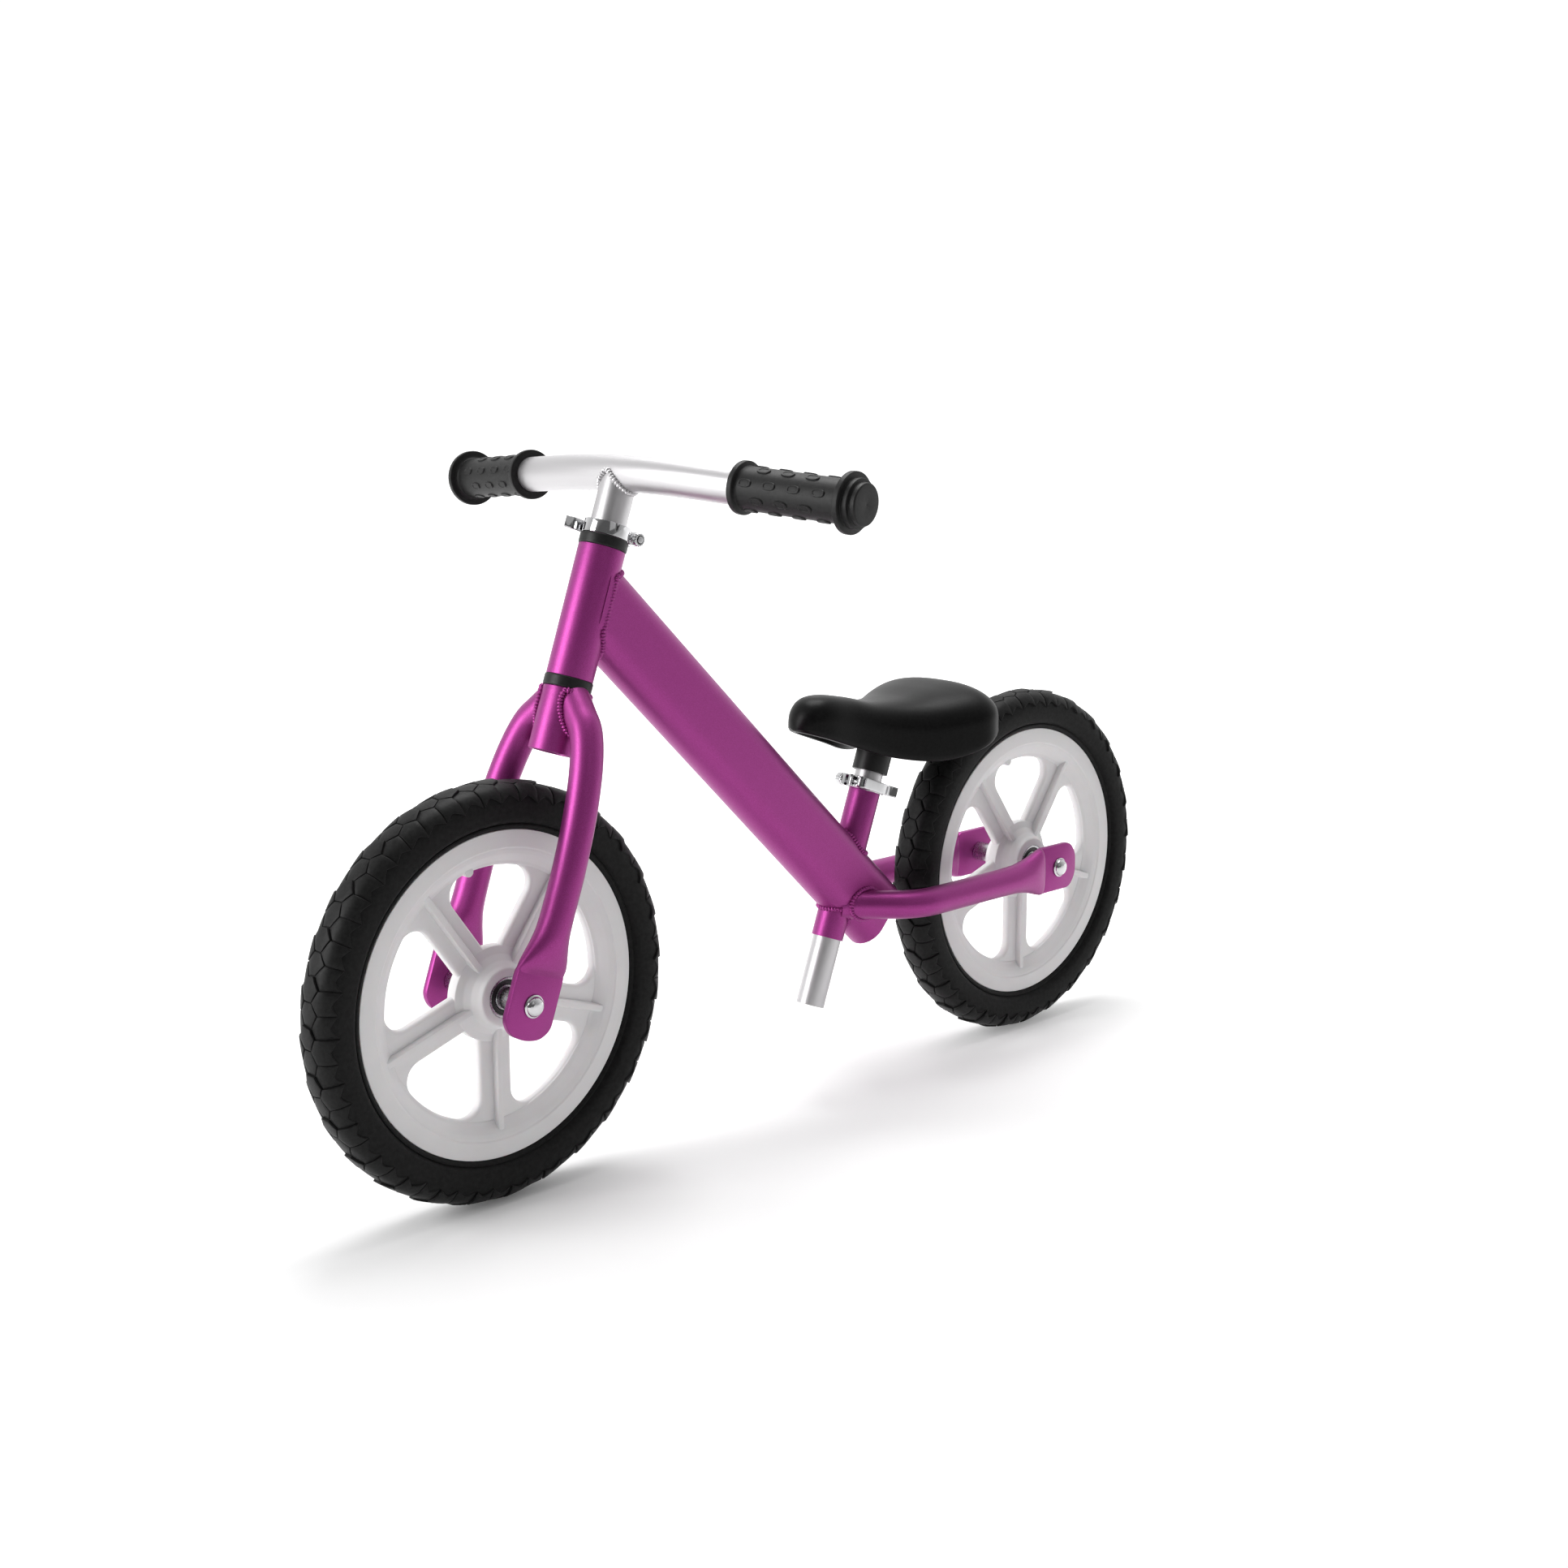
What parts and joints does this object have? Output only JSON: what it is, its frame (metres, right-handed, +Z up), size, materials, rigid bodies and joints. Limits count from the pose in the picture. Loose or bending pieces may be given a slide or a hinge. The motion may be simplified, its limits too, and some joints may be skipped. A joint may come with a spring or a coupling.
{
  "type": "balance bike",
  "caption": "Child's balance bike: oval down tube frame, steered fork, foam-tyred moulded wheels, height-adjustable bar and saddle on quick-release clamps.",
  "frame": {"origin": "on the ground, midway between the two wheels on the bike's middle plane", "axes": "+X forwards, +Y to the rider's left, +Z up"},
  "size_m": [0.8526, 0.4182, 0.501],
  "materials": {
    "paint": "candy magenta metallic paint, semi-gloss",
    "satin_aluminium": "satin anodised",
    "chrome": "polished plating",
    "steel": "turned zinc-plated steel",
    "wheel_plastic": "fine-textured off-white moulding",
    "tyre": "matt black foam with moulded tread",
    "seal": "smooth black rubber",
    "grip_rubber": "matt black rubber with raised dimples",
    "saddle_skin": "integral-skin foam with a fine grain",
    "black_plastic": "satin black plastic"
  },
  "bodies": {
    "frame": {"head_tube": "paint", "down_tube": "paint", "down_tube_end_plate": "paint", "seat_tube": "paint", "chainstay_left": "paint", "chainstay_right": "paint", "headset_bush_lower": "black_plastic", "headset_bush_upper": "black_plastic", "seat_clamp_collar": "chrome", "seat_clamp_bolt": "steel", "seat_clamp_nut": "chrome", "seat_clamp_pin": "steel", "rear_axle": "steel", "rear_hub_sleeve": "steel", "rear_axle_bolt_left": "chrome", "rear_spacer_left": "steel", "rear_bearing_inner_left": "steel", "rear_axle_bolt_right": "chrome", "rear_spacer_right": "steel", "rear_bearing_inner_right": "steel"},
    "fork": {"steerer_tube": "paint", "fork_crown": "paint", "fork_blade_left": "paint", "fork_blade_right": "paint", "head_clamp_collar": "chrome", "head_clamp_bolt": "steel", "head_clamp_nut": "chrome", "head_clamp_pin": "steel", "front_axle": "steel", "front_hub_sleeve": "steel", "front_axle_bolt_left": "chrome", "front_spacer_left": "steel", "front_bearing_inner_left": "steel", "front_axle_bolt_right": "chrome", "front_spacer_right": "steel", "front_bearing_inner_right": "steel"},
    "front_wheel_body": {"front_wheel": "wheel_plastic", "front_tyre": "tyre", "front_bearing_outer_left": "steel", "front_bearing_seal_left": "seal", "front_bearing_outer_right": "steel", "front_bearing_seal_right": "seal"},
    "rear_wheel_body": {"rear_wheel": "wheel_plastic", "rear_tyre": "tyre", "rear_bearing_outer_left": "steel", "rear_bearing_seal_left": "seal", "rear_bearing_outer_right": "steel", "rear_bearing_seal_right": "seal"},
    "handlebar": {"handlebar_tube": "satin_aluminium", "stem_tube": "satin_aluminium", "grip_left": "grip_rubber", "grip_right": "grip_rubber"},
    "saddle": {"seat_post": "satin_aluminium", "saddle_base": "black_plastic", "saddle_cover": "saddle_skin", "saddle_pin": "steel"},
    "head_lever": {"head_clamp_lever": "chrome"},
    "seat_lever": {"seat_clamp_lever": "chrome"}
  },
  "joints": [
    {"name": "steering", "type": "hinge", "parent": "frame", "child": "fork", "pos_m": [0.28035, 0, 0.146], "axis": [-0.3371, 0, 0.9415], "continuous": true},
    {"name": "front_wheel_spin", "type": "hinge", "parent": "fork", "child": "front_wheel_body", "pos_m": [0.28035, 0, 0.146], "axis": [0, 1, 0], "continuous": true},
    {"name": "rear_wheel_spin", "type": "hinge", "parent": "frame", "child": "rear_wheel_body", "pos_m": [-0.28035, 0, 0.146], "axis": [0, 1, 0], "continuous": true},
    {"name": "handlebar_height", "type": "slide", "parent": "fork", "child": "handlebar", "axis": [-0.3371, 0, 0.9415], "range_m": [-0.018, 0.05]},
    {"name": "saddle_height", "type": "slide", "parent": "frame", "child": "saddle", "axis": [-0.3527, 0, 0.9358], "range_m": [-0.004, 0.11]},
    {"name": "head_clamp_lever_swing", "type": "hinge", "parent": "fork", "child": "head_lever", "pos_m": [0.15213, -0.0117, 0.4436], "axis": [0.3371, 0, -0.9415], "range_deg": [0, 120]},
    {"name": "seat_clamp_lever_swing", "type": "hinge", "parent": "frame", "child": "seat_lever", "pos_m": [-0.07346, 0.0117, 0.24257], "axis": [0.3527, 0, -0.9358], "range_deg": [0, 120]}
  ]
}
